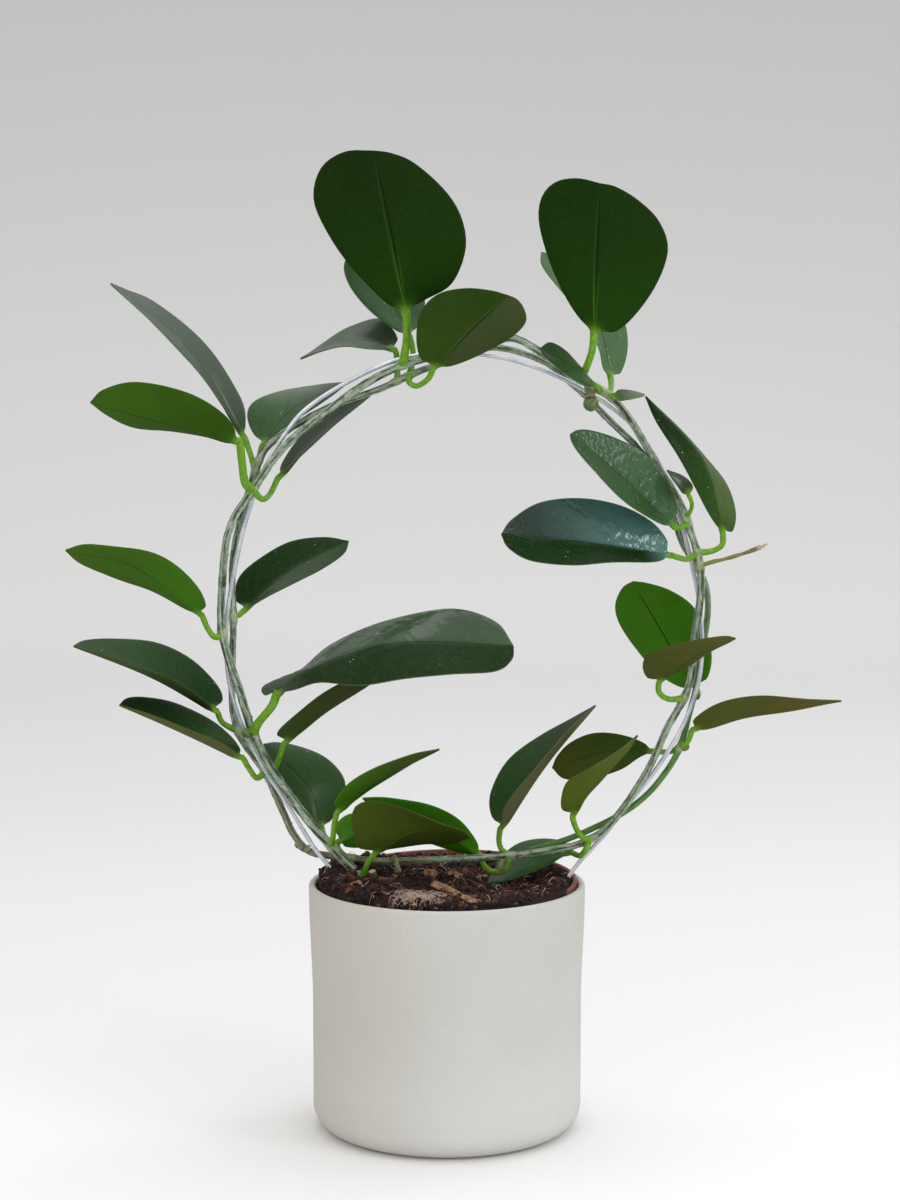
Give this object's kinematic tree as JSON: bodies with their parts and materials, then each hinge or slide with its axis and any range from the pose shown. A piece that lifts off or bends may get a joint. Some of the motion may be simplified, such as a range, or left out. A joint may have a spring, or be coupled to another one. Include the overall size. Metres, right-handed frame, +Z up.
{
  "type": "potted hoya australis on a wire hoop",
  "caption": "Potted trailing houseplant: a thick-leaved vine wound round a circular wire hoop, in a nursery pot inside a plain cover pot.",
  "frame": {"origin": "centre of the cover pot's flat base, on the surface it stands on", "axes": "+Z up; +Y away from the side that the hoop is seen from, square to the hoop's plane; +X to the right of that view"},
  "size_m": [0.3767, 0.136, 0.4769],
  "materials": {
    "stoneware": "matt, fine-grained, pale warm grey",
    "red_plastic": "thin brick-brown nursery plastic",
    "peat_mix": "damp fibrous peat and bark",
    "wire": "bright galvanised wire",
    "stem_bark": "pale grey-green ridged bark, green where young",
    "leaf_green": "thick waxy leaf, satin above and duller beneath",
    "dry_stalk": "dry brown",
    "cut_wood": "pale cut stem"
  },
  "bodies": {
    "root": {"cover_pot": "stoneware", "nursery_pot": "red_plastic", "potting_mix": "peat_mix", "wire_hoop": "wire", "vine_stem": "stem_bark", "cut_stem": "cut_wood", "flower_stalk": "dry_stalk", "leaf_01": "leaf_green", "leaf_02": "leaf_green", "leaf_03": "leaf_green", "leaf_04": "leaf_green", "leaf_05": "leaf_green", "leaf_06": "leaf_green", "leaf_07": "leaf_green", "leaf_08": "leaf_green", "leaf_09": "leaf_green", "leaf_10": "leaf_green", "leaf_11": "leaf_green", "leaf_12": "leaf_green", "leaf_13": "leaf_green", "leaf_14": "leaf_green", "leaf_15": "leaf_green", "leaf_16": "leaf_green", "leaf_17": "leaf_green", "leaf_18": "leaf_green", "leaf_19": "leaf_green", "leaf_20": "leaf_green", "leaf_21": "leaf_green", "leaf_22": "leaf_green", "leaf_23": "leaf_green", "leaf_24": "leaf_green", "leaf_25": "leaf_green", "leaf_26": "leaf_green", "leaf_27": "leaf_green", "leaf_28": "leaf_green", "leaf_29": "leaf_green", "leaf_30": "leaf_green", "leaf_31": "leaf_green", "leaf_32": "leaf_green", "leaf_33": "leaf_green", "leaf_34": "leaf_green"}
  },
  "joints": []
}
